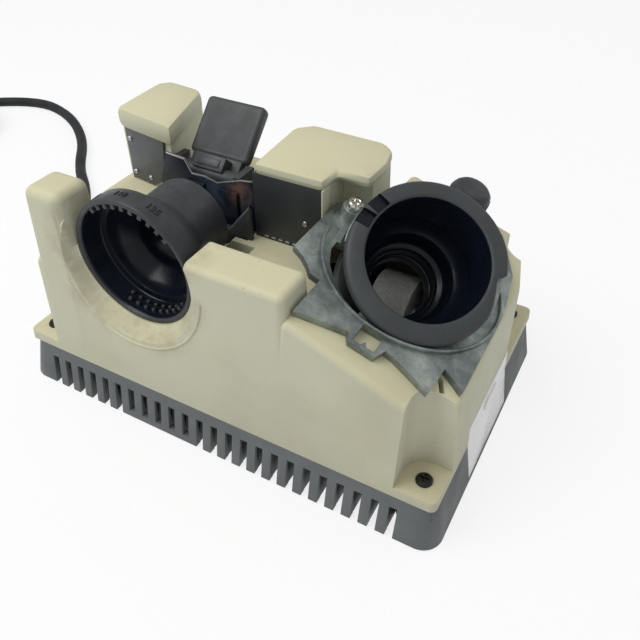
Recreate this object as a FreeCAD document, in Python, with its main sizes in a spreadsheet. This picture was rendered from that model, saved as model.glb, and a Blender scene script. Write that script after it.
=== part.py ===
import math
import os
import re

import FreeCAD
import Part

Vector = FreeCAD.Vector
Rotation = FreeCAD.Rotation

doc = FreeCAD.newDocument("drill_bit_sharpener")
sheet = doc.addObject("Spreadsheet::Sheet", "Dims")

# Driving dimensions in millimetres and degrees. X is right, Y is back and Z is up.
dimensions = {
    "base_length": 280, "base_width": 180, "base_low": 1, "base_height": 29, "base_inset": 5,
    "base_wall": 4, "deck_low": 17, "deck_thick": 3, "base_corner": 12,
    "slot_pitch": 10, "slot_width": 4.5, "slot_top": 21.5, "slot_start": -118, "slot_bar": 5,
    "foot_radius": 9, "foot_inset": 20,
    "mass_length": 270, "mass_width": 170, "mass_top": 143, "deck_lean": 4.8, "front_lean": 7,
    "wall_lean": 3, "lug_lean": 0.5, "edge_round": 4, "hood_round": 6,
    "deck_height": 95, "wall_top": 125, "wall_back": -50, "wall_left": -111, "wall_right": 51,
    "tower_left": -113, "tower_right": -82, "tower_top": 139, "tower_round": 6,
    "left_hood_left": -125, "left_hood_right": -96, "left_hood_front": 15, "left_hood_top": 143,
    "left_hood_back": 61, "right_hood_back": 51,
    "right_hood_left": -14, "right_hood_right": 45, "right_hood_front": -2, "right_hood_top": 140,
    "fascia_low": 130, "panel_thick": 2.5, "panel_depth": 8, "left_trim": 2.5,
    "right_trim": 2.5, "right_wing": 15, "wing_left": 28, "wing_back": 23, "wing_low": 108,
    "lug_x": 124, "lug_y": 73, "lug_top": 35, "lug_radius": 12, "screw_radius": 4.5, "shank_radius": 2,
    "seat_block": 40, "seat_slope": 20, "plate_thick": 4.3,
    "pivot_x": 77, "pivot_y": 16.6, "pivot_z": 106.66,
    "mouth_x": 94.9, "mouth_y": -17.9, "mouth_z": 125.7, "tube_azimuth": 43, "tube_lean": 39,
    "tube_bore": 31.5, "tube_barrel": 35, "flange_radius": 40, "flange_thick": 7, "tube_length": 65,
    "collar_radius": 41, "collar_gap": 9, "fit_gap": 0.05, "tube_room": 44, "seat_gap": 0.15,
    "boss_x": -39, "boss_y": -11, "boss_radius": 6, "boss_height": 7, "slot_play": 0.35,
    "window_left": 2, "window_right": 13, "window_front": -79, "window_back": -74,
    "lobe_reach": 2.5, "lobe_depth": 6, "lobe_half": 9, "notch_depth": 4, "notch_reach": 9, "notch_half": 5,
    "side_notch_low": 14, "side_notch_high": 22, "barrel_end": 57, "nose_end": 62, "nose_radius": 20,
    "first_step": 32, "second_step": 44, "third_step": 57, "second_bore": 25, "third_bore": 17,
    "last_bore": 12, "clip_low": 55.6, "clip_high": 54, "clip_reach": 2.5, "clip_bite": 1.5,
    "dial_x": -46, "dial_z": 108, "dial_front": -73, "dial_radius": 37.5, "dial_ring": 13,
    "dial_cone": 15, "tail_radius": 24.5, "tail_end": -9, "dial_bore": 30, "tail_bore": 20,
    "dial_room": 39, "well_left": -80, "well_right": -17, "well_back": 12, "well_floor": 80,
    "cavity_x": 121, "cavity_y": 57, "cavity_short": 108, "cavity_long": 74,
    "cavity_top": 76, "cavity_front": 62, "trough_back": -14,
    "motor_y": 28, "motor_z": 48.5, "can_radius": 24, "can_left": -75, "can_right": 20, "can_wall": 2,
    "shaft_radius": 4, "cap_thick": 6, "bearing_radius": 9, "bearing_width": 6,
    "rotor_radius": 17, "wheel_left": 51, "wheel_right": 75, "wheel_radius": 22, "hub_radius": 8,
    "fan_radius": 21, "fan_left": -100, "fan_width": 10,
    "pin_y": 12, "pin_z": 117, "pin_radius": 2.5, "lever_left": -77, "lever_right": -36, "lever_hub": 5,
    "lever_length": 45, "lever_thick": 4, "lever_lean": 45,
    "knob_x": 7, "knob_y": 48, "knob_radius": 12.5, "knob_height": 18, "stud_radius": 3,
    "swivel_range": 12.5, "pawl_thick": 2, "pawl_low": 84, "pawl_high": 118,
    "cover_front": -37, "cover_back": 30, "cover_low": 2, "cover_top": 43, "cover_x": 131.5,
    "cover_thick": 3, "switch_x": -60, "switch_z": 60, "switch_width": 32, "switch_height": 24,
    "rocker_radius": 6.2,
    "cord_width": 9.6, "cord_exit_y": 45, "cord_exit_z": 10,
}
for row, (alias, value) in enumerate(dimensions.items(), start=1):
    sheet.set(f"A{row}", alias)
    sheet.set(f"B{row}", str(value))
    sheet.setAlias(f"B{row}", alias)
doc.recompute()


def size(alias):
    return float(sheet.get(alias))


def bind(item, prop, formula):
    item.setExpression(prop, re.sub(r"[a-z]+(?:_[a-z]+)+", r"Dims.\g<0>", str(formula)))


def place(item, x, y, z, axis=None, angle=0):
    if axis:
        item.Placement = FreeCAD.Placement(Vector(0, 0, 0), Rotation(Vector(*axis), angle))
    bind(item, "Placement.Base.x", x)
    bind(item, "Placement.Base.y", y)
    bind(item, "Placement.Base.z", z)
    return item


def box(x0, x1, y0, y1, z0, z1):
    item = doc.addObject("Part::Box", "Box")
    bind(item, "Length", f"({x1})-({x0})")
    bind(item, "Width", f"({y1})-({y0})")
    bind(item, "Height", f"({z1})-({z0})")
    return place(item, x0, y0, z0)


turns = {"X": ((0, 1, 0), 90), "Y": ((1, 0, 0), -90), "Z": (None, 0)}


def cylinder(direction, radius, start, end, a, b):
    # a and b are the other two coordinates, in the order X, Y, Z
    item = doc.addObject("Part::Cylinder", "Cylinder")
    bind(item, "Radius", radius)
    bind(item, "Height", f"({end})-({start})")
    axis, angle = turns[direction]
    spot = {"X": (start, a, b), "Y": (a, start, b), "Z": (a, b, start)}[direction]
    return place(item, *spot, axis, angle)


def cone(direction, radius_a, radius_b, start, end, a, b):
    item = doc.addObject("Part::Cone", "Cone")
    bind(item, "Radius1", radius_a)
    bind(item, "Radius2", radius_b)
    bind(item, "Height", f"({end})-({start})")
    axis, angle = turns[direction]
    spot = {"X": (start, a, b), "Y": (a, start, b), "Z": (a, b, start)}[direction]
    return place(item, *spot, axis, angle)


def taper(x, y, z0, z1, inset):
    # a block centred on the origin whose four sides lean in by inset over its height
    item = doc.addObject("Part::Wedge", "Wedge")
    for prop, formula in {
        "Xmin": f"-({x})/2", "Xmax": f"({x})/2", "Zmin": f"-({y})/2", "Zmax": f"({y})/2",
        "X2min": f"-({x})/2+({inset})", "X2max": f"({x})/2-({inset})",
        "Z2min": f"-({y})/2+({inset})", "Z2max": f"({y})/2-({inset})",
        "Ymin": "0", "Ymax": f"({z1})-({z0})",
    }.items():
        bind(item, prop, formula)
    return place(item, 0, 0, z0, (1, 0, 0), 90)


def prism(points, low, high):
    # an upright block over a plan outline of named corners
    corners = [Vector(x, y, 0) for x, y in points]
    face = Part.Face(Part.makePolygon(corners + corners[:1]))
    outline = doc.addObject("Part::Feature", "Outline")
    outline.Shape = face
    item = doc.addObject("Part::Extrusion", "Prism")
    item.Base = outline
    item.DirMode = "Custom"
    item.Dir = Vector(0, 0, 1)
    item.Solid = True
    bind(item, "LengthFwd", f"({high})-({low})")
    return place(item, 0, 0, low)


def join(*items):
    if len(items) == 1:
        return items[0]
    item = doc.addObject("Part::MultiFuse", "Join")
    item.Shapes = list(items)
    return item


def cut(base, *tools):
    item = doc.addObject("Part::Cut", "Cut")
    item.Base = base
    item.Tool = join(*tools)
    return item


def common(*items):
    item = doc.addObject("Part::MultiCommon", "Common")
    item.Shapes = list(items)
    return item


def group(item):
    # keeps a piece's own place and gives the group a placement of its own
    whole = doc.addObject("Part::Compound", "Group")
    whole.Links = [item]
    return whole


def on_seat(item):
    # lays a piece drawn flat onto the sloping seat, about the bracket's pivot
    item = group(item)
    item.Placement = FreeCAD.Placement(Vector(0, 0, 0), Rotation(Vector(0, 1, 0), size("seat_slope")))
    bind(item, "Placement.Base.x", "pivot_x")
    bind(item, "Placement.Base.y", "pivot_y")
    bind(item, "Placement.Base.z", "pivot_z")
    bind(item, "Placement.Rotation.Angle", "seat_slope")
    return item


def on_tube(item):
    # turns a piece drawn along Z, mouth at zero, onto the sharpening tube's axis
    azimuth = math.radians(size("tube_azimuth"))
    axis = Vector(math.cos(azimuth), math.sin(azimuth), 0)
    item = group(item)
    item.Placement = FreeCAD.Placement(Vector(0, 0, 0), Rotation(axis, size("tube_lean")))
    bind(item, "Placement.Base.x", "mouth_x")
    bind(item, "Placement.Base.y", "mouth_y")
    bind(item, "Placement.Base.z", "mouth_z")
    bind(item, "Placement.Rotation.Angle", "tube_lean")
    return item


nodes = {}


def node(name, item):
    item.Label = name
    nodes[name] = item
    return item


def rounded(item, radius, wanted):
    # rounds the edges whose two ends pass the test
    doc.recompute()
    chosen = []
    for index, edge in enumerate(item.Shape.Edges, start=1):
        ends = [vertex.Point for vertex in edge.Vertexes]
        if len(ends) == 2 and wanted(*ends):
            chosen.append((index, radius, radius))
    fillet = doc.addObject("Part::Fillet", "Fillet")
    fillet.Base = item
    fillet.Edges = chosen
    return fillet


def upright(a, b):
    return abs(a.z - b.z) > 3


def off_the_bottom(a, b):
    return max(a.z, b.z) > size("base_height") + 1


def leaning(x0, x1, y0, y1, top, lean, front_lean):
    # a block on the base whose sides lean in, with a lean of its own at the front
    item = doc.addObject("Part::Wedge", "Wedge")
    for prop, formula in {
        "Xmin": x0, "Xmax": x1, "Zmin": f"-({y1})", "Zmax": f"-({y0})",
        "X2min": f"({x0})+({lean})", "X2max": f"({x1})-({lean})",
        "Z2min": f"-({y1})+({lean})", "Z2max": f"-({y0})-({front_lean})",
        "Ymin": "0", "Ymax": f"({top})-base_height",
    }.items():
        bind(item, prop, formula)
    return place(item, 0, 0, "base_height", (1, 0, 0), 90)


# Base tray: flared walls, an inner deck, vent slots in the front wall
tray = rounded(taper("base_length", "base_width", "base_low", "base_height", "base_inset"),
               size("base_corner"), upright)
under = taper("base_length-2*base_wall", "base_width-2*base_wall", "0", "deck_low", "base_inset/2")
over = taper("base_length-2*base_wall-base_inset", "base_width-2*base_wall-base_inset",
             "deck_low+deck_thick", "base_height+1", "base_inset/3")
slots = []
slot_count = 24
barred = range(6, 11)
for number in range(slot_count):
    left = f"slot_start+{number}*slot_pitch"
    low = "slot_bar" if number in barred else "0"
    slots.append(box(left, f"{left}+slot_width", "-base_width/2-5", "-base_width/2+8", low, "slot_top"))
cover_way = box("cover_x-5", "base_length/2+10", "cover_front", "cover_back", "cover_low", "base_height+5")
gland_way = cylinder("X", "cord_width/2+3", "-base_length/2-5", "-base_length/2+12",
                     "cord_exit_y", "cord_exit_z")
node("base_tray", cut(tray, under, over, *slots, cover_way, gland_way))

feet = []
for side_x in (-1, 1):
    for side_y in (-1, 1):
        foot_x = f"{side_x}*(base_length/2-foot_inset)"
        foot_y = f"{side_y}*(base_width/2-foot_inset)"
        feet.append(cylinder("Z", "foot_radius", "0", "deck_low", foot_x, foot_y))
node("rubber_feet", join(*feet))

# Top housing: moulded blocks joined on one flange, then cut for the ports, pockets and panels
edge = size("edge_round")
flange = rounded(taper("mass_length", "mass_width", "base_height", "lug_top", "lug_lean"),
                 size("lug_radius"), upright)
deck = rounded(leaning("-mass_length/2", "seat_block+14", "-mass_width/2", "mass_width/2", "deck_height",
                       "deck_lean", "deck_lean"), edge, off_the_bottom)
front_wall = rounded(leaning("wall_left", "wall_right", "-mass_width/2", "wall_back", "wall_top",
                             "wall_lean", "front_lean"), edge, off_the_bottom)
hoods = [rounded(leaning(f"{side}_hood_left-wall_lean", f"{side}_hood_right+wall_lean", f"{side}_hood_front",
                         f"{side}_hood_back+wall_lean", f"{side}_hood_top", "wall_lean", "wall_lean/4"),
                 size("hood_round"), off_the_bottom) for side in ("left", "right")]
tower = rounded(leaning("tower_left", "tower_right", "-mass_width/2", "wall_back", "tower_top",
                        "wall_lean", "front_lean"), size("tower_round"), off_the_bottom)
above_seat = on_seat(box("-120", "90", "-130", "100", "-plate_thick", "90"))
seat_mass = cut(leaning("seat_block", "mass_length/2", "-mass_width/2", "mass_width/2", "wall_top",
                        "front_lean", "front_lean"), above_seat)
seat = rounded(seat_mass, edge, off_the_bottom)
wing_notch = box("wing_left", "right_hood_right+3", "right_hood_front-2", "wing_back",
                 "wing_low", "mass_top+1")
pockets = []
for side_x in (-1, 1):
    for side_y in (-1, 1):
        lug_x = f"{side_x}*lug_x"
        lug_y = f"{side_y}*lug_y"
        pockets.append(cylinder("Z", "lug_radius", "lug_top", "mass_top+2", lug_x, lug_y))
        x_in = f"{lug_x}-{side_x}*lug_radius"
        x_out = f"{lug_x}+{side_x}*30"
        y_in = f"{lug_y}-{side_y}*lug_radius"
        y_out = f"{lug_y}+{side_y}*30"
        x_pair = (x_out, x_in) if side_x < 0 else (x_in, x_out)
        x_mid = (x_out, lug_x) if side_x < 0 else (lug_x, x_out)
        y_pair = (y_out, lug_y) if side_y < 0 else (lug_y, y_out)
        y_full = (y_out, y_in) if side_y < 0 else (y_in, y_out)
        pockets.append(box(*x_pair, *y_pair, "lug_top", "mass_top+2"))
        pockets.append(box(*x_mid, *y_full, "lug_top", "mass_top+2"))
corner_cut = prism([(-111, -90), (-111, -74), (-128, -47), (-145, -47), (-145, -90)],
                   "lug_top", "mass_top+2")
shoulder_cut = prism([(134, 28), (124.5, 62), (112, 80), (112, 95), (150, 95), (150, 28)],
                     "lug_top", "mass_top+2")
cavity = join(
    box("-cavity_x", "cavity_x", "trough_back+4", "cavity_y", "base_height-1", "cavity_top"),
    box("-cavity_x", "cavity_x", "-cavity_y", "trough_back+4", "base_height-1", "cavity_front"),
    box("-cavity_short", "cavity_short", "cavity_y-2", "cavity_long", "base_height-1", "cavity_front"),
    box("-cavity_short", "cavity_short", "-cavity_long", "-cavity_y+2", "base_height-1", "cavity_front"),
)
trough = join(
    cone("Y", "dial_radius+9", "dial_radius+1", "-mass_width/2-1", "dial_front", "dial_x", "dial_z"),
    cylinder("Y", "dial_radius+fit_gap", "dial_front-1", "dial_front+dial_ring+1", "dial_x", "dial_z"),
    cylinder("Y", "dial_room", "dial_front+dial_ring", "trough_back", "dial_x", "dial_z"),
    cylinder("Y", "tail_radius+fit_gap", "trough_back-1", "trough_back+6", "dial_x", "dial_z"),
    box("dial_x-dial_room", "dial_x+dial_room", "-100", "wall_back+1", "dial_z", "mass_top+1"),
)
well = box("well_left", "well_right", "trough_back+4", "well_back", "well_floor", "deck_height")
left_recess = box("left_hood_left+left_trim", "left_hood_right-left_trim", "left_hood_front-1",
                  "left_hood_front+panel_depth", "deck_height", "fascia_low")
right_recess = box("right_hood_left+right_trim", "right_hood_right-right_wing", "right_hood_front-1",
                   "right_hood_front+panel_depth", "deck_height", "fascia_low-2")
tube_way = on_tube(cylinder("Z", "tube_room", "-tube_length-20", "20", "0", "0"))
stud_way = on_seat(cylinder("Z", "stud_radius", "-20", "5", "knob_x", "knob_y"))
screw_ways = [cylinder("Z", "shank_radius", "base_height-5", "lug_top+1", f"{sx}*lug_x", f"{sy}*lug_y")
              for sx in (-1, 1) for sy in (-1, 1)]
cover_gap = box("cover_x", "mass_length/2+10", "cover_front", "cover_back", "base_height-1", "cover_top+0.4")
switch_way = box("switch_x-switch_width/2+2", "switch_x+switch_width/2-2", "60", "100",
                 "switch_z-switch_height/2+2", "switch_z+switch_height/2-2")
node("top_housing", cut(join(flange, deck, front_wall, tower, seat, *hoods), wing_notch, *pockets,
                        corner_cut, shoulder_cut, cavity, trough, well, left_recess, right_recess, tube_way,
                        stud_way, *screw_ways, cover_gap, switch_way))

screws = []
for side_x in (-1, 1):
    for side_y in (-1, 1):
        spot = (f"{side_x}*lug_x", f"{side_y}*lug_y")
        head = join(cylinder("Z", "screw_radius", "lug_top", "lug_top+2.5", *spot),
                    cylinder("Z", "shank_radius", "base_height+1", "lug_top+1", *spot))
        socket = cylinder("Z", "shank_radius-0.6", "lug_top+1", "lug_top+3", *spot)
        screws.append(cut(head, socket))
node("housing_screws", join(*screws))

# Grey panels below the two hoods
node("left_panel", box("left_hood_left+left_trim", "left_hood_right-left_trim",
                       "left_hood_front+panel_depth-panel_thick", "left_hood_front+panel_depth",
                       "deck_height", "fascia_low"))
node("right_panel", box("right_hood_left+right_trim", "right_hood_right-right_wing",
                        "right_hood_front+panel_depth-panel_thick", "right_hood_front+panel_depth",
                        "deck_height", "fascia_low-2"))

# Alignment dial: ring, cone and tail, with a stepped bore and notches in its mouth
dial_solid = join(
    cylinder("Y", "dial_radius", "dial_front", "dial_front+dial_ring", "dial_x", "dial_z"),
    cone("Y", "dial_radius", "tail_radius", "dial_front+dial_ring", "dial_front+dial_ring+dial_cone",
         "dial_x", "dial_z"),
    cylinder("Y", "tail_radius", "dial_front+dial_ring+dial_cone", "tail_end", "dial_x", "dial_z"),
)
dial_hole = join(
    cylinder("Y", "dial_bore", "dial_front-1", "dial_front+15", "dial_x", "dial_z"),
    cone("Y", "dial_bore", "tail_bore", "dial_front+15", "dial_front+29", "dial_x", "dial_z"),
    cylinder("Y", "tail_bore", "dial_front+28", "tail_end+1", "dial_x", "dial_z"),
)
notches = []
notch_count = 12
for number in range(notch_count):
    notch = group(box("-1.5", "1.5", "-1", "4", "dial_bore-2", "dial_bore+3.5"))
    notches.append(place(notch, "dial_x", "dial_front", "dial_z", (0, 1, 0), number * 360 / notch_count))
node("alignment_dial", cut(dial_solid, dial_hole, *notches))

# Pawl guide block in the well, with the two sheet pawls in its slot
slot_gap = 0.4
guide = box("well_left", "well_right", "trough_back+5", "well_back-9", "well_floor", "deck_height")
pawl_slot = box("well_left+4", "well_right-4", f"-pawl_thick-{slot_gap}", f"{slot_gap}",
                "pawl_low", "mass_top")
tail_room = cylinder("Y", "tail_radius+2", "trough_back", "tail_end+1", "dial_x", "dial_z")
node("pawl_guide", cut(guide, pawl_slot, tail_room))
pawl_gap = 5
for name, side in (("left_pawl", -1), ("right_pawl", 1)):
    inner = f"dial_x+{side}*{pawl_gap}"
    outer = f"dial_x+{side}*18"
    pair = (outer, inner) if side < 0 else (inner, outer)
    blade = box(*pair, "-pawl_thick", "0", "pawl_low", "pawl_high")
    vee = cylinder("Y", "7", "-pawl_thick-1", "1", f"dial_x+{side}*2", "pawl_high-10")
    node(name, cut(blade, vee))

# Lever on its pin, carried by a two-eared bracket that stands on the deck
lever_ears = join(
    box("lever_left-5", "lever_left-0.6", "pin_y+3.4", "pin_y+10", "deck_height", "pin_z+6"),
    box("lever_right+0.6", "lever_right+5", "pin_y+3.4", "pin_y+10", "deck_height", "pin_z+6"),
    box("lever_left-5", "lever_left-0.6", "pin_y-6", "pin_y+4", "deck_height+6", "pin_z+6"),
    box("lever_right+0.6", "lever_right+5", "pin_y-6", "pin_y+4", "deck_height+6", "pin_z+6"),
    box("lever_left-5", "lever_right+5", "well_back+1", "well_back+6", "deck_height", "deck_height+6"),
)
pin_way = cylinder("X", "pin_radius", "lever_left-10", "lever_right+10", "pin_y", "pin_z")
node("lever_bracket", cut(lever_ears, pin_way))
node("lever_pin", cylinder("X", "pin_radius", "lever_left-6", "lever_right+6", "pin_y", "pin_z"))
lever_plate = box("lever_left", "lever_right", "0", "lever_thick", "0", "lever_length")
thumb = box("lever_left+8", "lever_right-8", "-1", "1.2", "lever_length-22", "lever_length-4")
leaf = cut(lever_plate, thumb)
place(leaf, "0", "pin_y-lever_thick*0.35", "pin_z-lever_thick*0.35", (1, 0, 0), -dimensions["lever_lean"])
lever_hub = cylinder("X", "lever_hub", "lever_left", "lever_right", "pin_y", "pin_z")
pin_bore = cylinder("X", "pin_radius+fit_gap", "lever_left-1", "lever_right+1", "pin_y", "pin_z")
node("pawl_lever", cut(join(lever_hub, leaf), pin_bore))

# Angle bracket: flat plate, collar for the tube, arc slot for the clamp stud, pin boss
outline = [(-28, -89), (-2, -81), (1, -85.5), (15, -85), (17.5, -78), (24, -79), (44, -85), (45, -66.5),
           (57.5, -73), (57.5, -10), (52, 22), (36, 50), (22, 56), (-6, 56), (-16, 42), (-28, 8), (-46, -3),
           (-46, -18), (-38, -24), (-36, -50), (-28, -64)]
plate_low = "-plate_thick+seat_gap"
plate = on_seat(prism(outline, plate_low, "0"))
boss = on_seat(cylinder("Z", "boss_radius", plate_low, "boss_height", "boss_x", "boss_y"))
collar = on_tube(cylinder("Z", "collar_radius", "-60", "-collar_gap", "0", "0"))
below_plate = on_seat(box("-150", "150", "-150", "150", "-150", plate_low))
tube_hole = on_tube(cylinder("Z", "tube_barrel+fit_gap", "-80", "30", "0", "0"))
flange_room = on_tube(cylinder("Z", "tube_room", "-flange_thick-1", "40", "0", "0"))
window = on_seat(box("window_left", "window_right", "window_front", "window_back", "-plate_thick-1", "1"))
follower_way = on_seat(cylinder("Z", "stud_radius", "-plate_thick-1", "boss_height+2", "boss_x", "boss_y"))
stud_reach = math.hypot(size("knob_x"), size("knob_y"))
stud_angle = math.degrees(math.atan2(size("knob_y"), size("knob_x")))
slot_ring = cut(cylinder("Z", f"{stud_reach:.3f}+stud_radius+slot_play", "-plate_thick-1", "1", "0", "0"),
                cylinder("Z", f"{stud_reach:.3f}-stud_radius-slot_play", "-plate_thick-2", "2", "0", "0"))
slot_ends = [math.radians(stud_angle - share * size("swivel_range")) for share in (1, 0)]
sector_reach = 2 * stud_reach
sector = prism([(0, 0)] + [(sector_reach * math.cos(a), sector_reach * math.sin(a)) for a in slot_ends],
               "-plate_thick-1", "1")
slot_tools = [on_seat(common(slot_ring, sector))]
for angle in slot_ends:
    end_x = f"{stud_reach * math.cos(angle):.3f}"
    end_y = f"{stud_reach * math.sin(angle):.3f}"
    slot_tools.append(on_seat(cylinder("Z", "stud_radius+slot_play", "-plate_thick-1", "1", end_x, end_y)))
node("angle_bracket", cut(join(plate, boss, cut(collar, below_plate)), tube_hole, flange_room, window,
                          follower_way, *slot_tools))
pin_head = join(cylinder("Z", "stud_radius", plate_low, "boss_height+3", "boss_x", "boss_y"),
                cylinder("Z", "stud_radius+1.5", "boss_height", "boss_height+4", "boss_x", "boss_y"))
node("follower_pin", on_seat(pin_head))

# Sharpening tube: flange with two cam lobes, barrel, tapering nose and stepped bore
tube_solid = join(
    cylinder("Z", "flange_radius", "-flange_thick", "0", "0", "0"),
    box("flange_radius-lobe_depth", "flange_radius+lobe_reach", "-lobe_half", "lobe_half",
        "-flange_thick", "0"),
    box("-flange_radius-lobe_reach", "-flange_radius+lobe_depth", "-lobe_half", "lobe_half",
        "-flange_thick", "0"),
    cylinder("Z", "tube_barrel", "-barrel_end", "-flange_thick", "0", "0"),
    cone("Z", "nose_radius", "tube_barrel", "-nose_end", "-barrel_end", "0", "0"),
    cylinder("Z", "nose_radius", "-tube_length", "-nose_end+1", "0", "0"),
)
tube_steps = join(
    cylinder("Z", "tube_bore", "-first_step", "1", "0", "0"),
    cylinder("Z", "second_bore", "-second_step", "-first_step+1", "0", "0"),
    cylinder("Z", "third_bore", "-third_step", "-second_step+1", "0", "0"),
    cylinder("Z", "last_bore", "-tube_length-1", "-third_step+1", "0", "0"),
    box("-notch_half", "notch_half", "flange_radius-notch_reach", "flange_radius+4", "-notch_depth", "1"),
    box("-flange_radius-4", "-flange_radius+notch_reach", "side_notch_low", "side_notch_high",
        "-notch_depth", "1"),
)
clip_room = cylinder("Z", "tube_barrel-clip_bite", "-clip_low-1.4", "-clip_high+1", "0", "0")
ring_groove = cut(cylinder("Z", "tube_barrel+1", "-clip_low", "-clip_high", "0", "0"), clip_room)
node("sharpening_tube", on_tube(cut(tube_solid, tube_steps, ring_groove)))
clip = cut(cylinder("Z", "tube_barrel+clip_reach", "-clip_low", "-clip_high", "0", "0"), clip_room)
node("tube_clip", on_tube(clip))

# Lock knob on a stud that stands in the housing
node("clamp_stud", on_seat(cylinder("Z", "stud_radius", "-20", "knob_height-6", "knob_x", "knob_y")))
knob_solid = join(cylinder("Z", "knob_radius", "0.2", "knob_height-4", "knob_x", "knob_y"),
                  cone("Z", "knob_radius", "knob_radius-3", "knob_height-4", "knob_height",
                       "knob_x", "knob_y"))
rib_count = 16
ribs = []
for number in range(rib_count):
    angle = 2 * math.pi * number / rib_count
    ribs.append(cylinder("Z", "1.2", "1.5", "knob_height+1",
                         f"knob_x+knob_radius*{math.cos(angle):.4f}",
                         f"knob_y+knob_radius*{math.sin(angle):.4f}"))
stud_bore = cylinder("Z", "stud_radius+fit_gap", "0", "knob_height-5", "knob_x", "knob_y")
node("lock_knob", on_seat(cut(knob_solid, stud_bore, *ribs)))

# Motor: mount, can, end caps, bearings
can = cut(cylinder("X", "can_radius", "can_left", "can_right", "motor_y", "motor_z"),
          cylinder("X", "can_radius-can_wall", "can_left-1", "can_right+1", "motor_y", "motor_z"))
node("motor_can", can)
mount = cut(box("can_left+12", "can_right-12", "motor_y-can_radius+3", "motor_y+can_radius-3",
                "deck_low+deck_thick", "motor_z-8"),
            cylinder("X", "can_radius", "can_left-1", "can_right+1", "motor_y", "motor_z"))
node("motor_mount", mount)
caps = []
bearings = []
for start, end in (("can_left", "can_left+cap_thick"), ("can_right-cap_thick", "can_right")):
    plate_disc = cylinder("X", "can_radius-can_wall", start, end, "motor_y", "motor_z")
    race_hole = cylinder("X", "bearing_radius", f"{start}-1", f"{end}+1", "motor_y", "motor_z")
    caps.append(cut(plate_disc, race_hole))
    race = cylinder("X", "bearing_radius", start, f"{start}+bearing_width", "motor_y", "motor_z")
    race_bore = cylinder("X", "shaft_radius+fit_gap", f"{start}-1", f"{end}+1", "motor_y", "motor_z")
    bearings.append(cut(race, race_bore))
node("motor_end_caps", join(*caps))
node("motor_bearings", join(*bearings))

# Spindle: shaft, rotor, fan, grinding wheel and its screw
node("motor_shaft", cylinder("X", "shaft_radius", "fan_left", "wheel_right", "motor_y", "motor_z"))
rotor = cut(cylinder("X", "rotor_radius", "can_left+18", "can_right-18", "motor_y", "motor_z"),
            cylinder("X", "shaft_radius", "can_left", "can_right", "motor_y", "motor_z"))
node("rotor", rotor)
blades = [cylinder("X", "hub_radius", "fan_left", "fan_left+fan_width", "motor_y", "motor_z"),
          cylinder("X", "fan_radius", "fan_left+fan_width-2", "fan_left+fan_width", "motor_y", "motor_z")]
blade_count = 8
for number in range(blade_count):
    blade = group(box("0", "fan_width", "-0.8", "0.8", "hub_radius-1", "fan_radius"))
    blades.append(place(blade, "fan_left", "motor_y", "motor_z", (1, 0, 0), number * 360 / blade_count))
fan_bore = cylinder("X", "shaft_radius", "fan_left-1", "fan_left+fan_width+1", "motor_y", "motor_z")
node("cooling_fan", cut(join(*blades), fan_bore))
wheel = cylinder("X", "wheel_radius", "wheel_left", "wheel_right", "motor_y", "motor_z")
wheel_bore = cylinder("X", "shaft_radius", "wheel_left-1", "wheel_right+1", "motor_y", "motor_z")
node("grinding_wheel", cut(wheel, wheel_bore))
node("wheel_screw", cylinder("X", "hub_radius-2", "wheel_right", "wheel_right+4", "motor_y", "motor_z"))

# Clear access cover in the right wall, held by its two hooks
cover_fit = 0.4
cover_plate = box("cover_x", "cover_x+cover_thick", f"cover_front+{cover_fit}", f"cover_back-{cover_fit}",
                  f"cover_low+{cover_fit}", "cover_top")
grip = box("cover_x+cover_thick", "cover_x+cover_thick+1.5", "-12", "6", "cover_top-10", "cover_top-4")
node("access_cover", join(cover_plate, grip))

# Switch in the rear wall
frame_low = "switch_z-switch_height/2"
frame_high = "switch_z+switch_height/2"
bezel = join(box("switch_x-switch_width/2", "switch_x+switch_width/2", "85", "87.5", frame_low, frame_high),
             box("switch_x-switch_width/2+2", "switch_x+switch_width/2-2", "72", "85",
                 f"{frame_low}+2", f"{frame_high}-2"))
rocker_room = box("switch_x-switch_width/2+4", "switch_x+switch_width/2-4", "74.5", "90",
                  "switch_z-rocker_radius-0.5", "switch_z+rocker_radius+0.5")
node("switch_frame", cut(bezel, rocker_room))
node("switch_rocker", cylinder("X", "rocker_radius", "switch_x-switch_width/2+4.4",
                               "switch_x+switch_width/2-4.4", "81", "switch_z"))

# Mains cord: strain relief, free run, coil, tail and plug
cord = size("cord_width")
floor_z = cord / 2 + 0.2
exit_y = size("cord_exit_y")
exit_z = size("cord_exit_z")
relief_in = "-base_length/2+12"
relief_out = "-base_length/2-30"
relief = join(cone("X", "cord_width/2+1.2", "cord_width/2+3", relief_out, "-base_length/2-2",
                   "cord_exit_y", "cord_exit_z"),
              cylinder("X", "cord_width/2+3", "-base_length/2-2", relief_in, "cord_exit_y", "cord_exit_z"))
relief_bore = cylinder("X", "cord_width/2", "-base_length/2-31", "-base_length/2+13",
                       "cord_exit_y", "cord_exit_z")
node("strain_relief", cut(relief, relief_bore))

coil_x, coil_y = -488, 120
coil_radius = 57
half_step = 5.1
layer_rise = 10.2
start_angle = math.radians(126)
heading = Vector(-math.sin(start_angle), math.cos(start_angle), 0)
coil_start = Vector(coil_x + coil_radius * math.cos(start_angle),
                    coil_y + coil_radius * math.sin(start_angle), floor_z)
run_in = 87
route = [Vector(-128, exit_y, exit_z), Vector(-196, exit_y, exit_z), Vector(-238, 64, floor_z),
         Vector(-268, 97, floor_z), Vector(-300, 122, floor_z), Vector(-338, 169, floor_z),
         Vector(-393, 206, floor_z), coil_start - heading * run_in, coil_start]


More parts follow.
